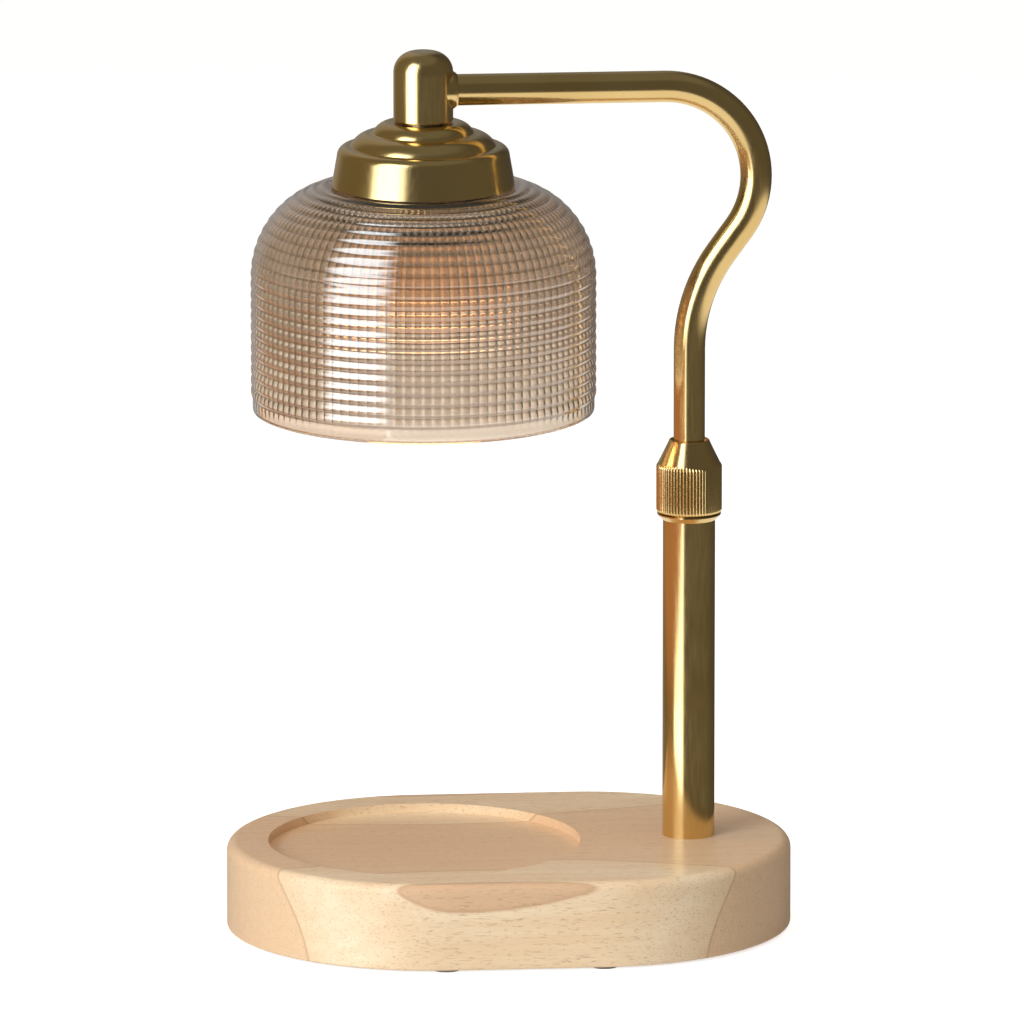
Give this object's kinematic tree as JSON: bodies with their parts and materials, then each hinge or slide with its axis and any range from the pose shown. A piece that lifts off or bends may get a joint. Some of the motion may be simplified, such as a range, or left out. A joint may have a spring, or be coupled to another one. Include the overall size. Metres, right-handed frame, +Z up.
{
  "type": "candle warmer lamp",
  "caption": "Candle warmer lamp: wooden base with a jar recess, telescopic brass post and swing arm, and a ribbed amber glass shade over a downward reflector bulb.",
  "frame": {"origin": "on the floor under the middle of the wooden base", "axes": "+Z up, +X along the base from the jar recess to the post, +Y to the rear, where the cord outlet is"},
  "size_m": [0.216, 0.156, 0.3403],
  "materials": {
    "wood": "open-pored pale hardwood, satin varnish",
    "brass": "brushed and lacquered antique brass",
    "inner_brass": "turned",
    "steel": "zinc plated",
    "black_plastic": "fine grain",
    "nylon": "moulded",
    "rubber": "matt",
    "silicone": "translucent matt",
    "lead": "smooth sheath",
    "amber_glass": "ribbed and fluted, champagne tint",
    "ceramic": "unglazed steatite",
    "reflector": "faceted bright reflector",
    "clear_glass": "clear"
  },
  "bodies": {
    "base": {"base_block": "wood", "base_cover": "black_plastic", "cover_screws": "steel", "foot_pads": "rubber", "cord_bushing": "black_plastic", "terminal_block": "nylon", "terminal_screws": "steel", "block_screw": "steel", "base_lead": "lead", "slack_lead": "lead", "post_tube": "brass", "post_foot_plug": "inner_brass", "base_nipple": "steel", "post_washer": "steel", "post_lock_washer": "steel", "post_nut": "steel", "nipple_grommet": "nylon", "gland_body": "brass", "collet": "nylon"},
    "collar_washer": {"slip_washer": "nylon"},
    "collar": {"collar_nut": "brass"},
    "arm_guide": {"guide_bush": "nylon"},
    "arm": {"arm_tube": "brass", "arm_end_ring": "inner_brass", "arm_stop_ring": "inner_brass", "arm_lead": "lead", "elbow": "brass", "fitter_washer": "steel", "fitter_cup": "brass", "head_nipple": "steel", "fitter_spacer": "inner_brass", "shade_holder": "black_plastic", "head_lock_washer": "steel", "head_nut": "steel", "shade_gasket": "silicone", "glass_shade": "amber_glass", "ring_gasket": "silicone", "shade_ring": "black_plastic", "lampholder": "ceramic", "lampholder_screws": "steel", "lampholder_sleeves": "inner_brass", "lampholder_contacts": "inner_brass"},
    "bulb": {"bulb_reflector": "reflector", "bulb_lens": "clear_glass", "bulb_capsule": "clear_glass", "bulb_cap": "ceramic", "bulb_pins": "inner_brass"}
  },
  "joints": [
    {"name": "collar_lift", "type": "slide", "parent": "base", "child": "collar_washer", "axis": [0, 0, 1], "range_m": [0, 0.0015]},
    {"name": "collar_turn", "type": "hinge", "parent": "collar_washer", "child": "collar", "pos_m": [0.069, 0, 0.17], "axis": [0, 0, 1], "range_deg": [0, 360]},
    {"name": "arm_height", "type": "slide", "parent": "base", "child": "arm_guide", "axis": [0, 0, 1], "range_m": [-0.035, 0.045], "deforming": ["slack_lead"]},
    {"name": "arm_swing", "type": "hinge", "parent": "arm_guide", "child": "arm", "pos_m": [0.069, 0, 0.09], "axis": [0, 0, 1], "range_deg": [-180, 180]},
    {"name": "bulb_twist", "type": "hinge", "parent": "arm", "child": "bulb", "pos_m": [-0.0325, 0, 0.28], "axis": [0, 0, 1], "range_deg": [-35, 0]}
  ],
  "couplings": [
    {"joint": "collar_lift", "follows": "collar_turn", "m_per_rad": 0.0002387}
  ]
}
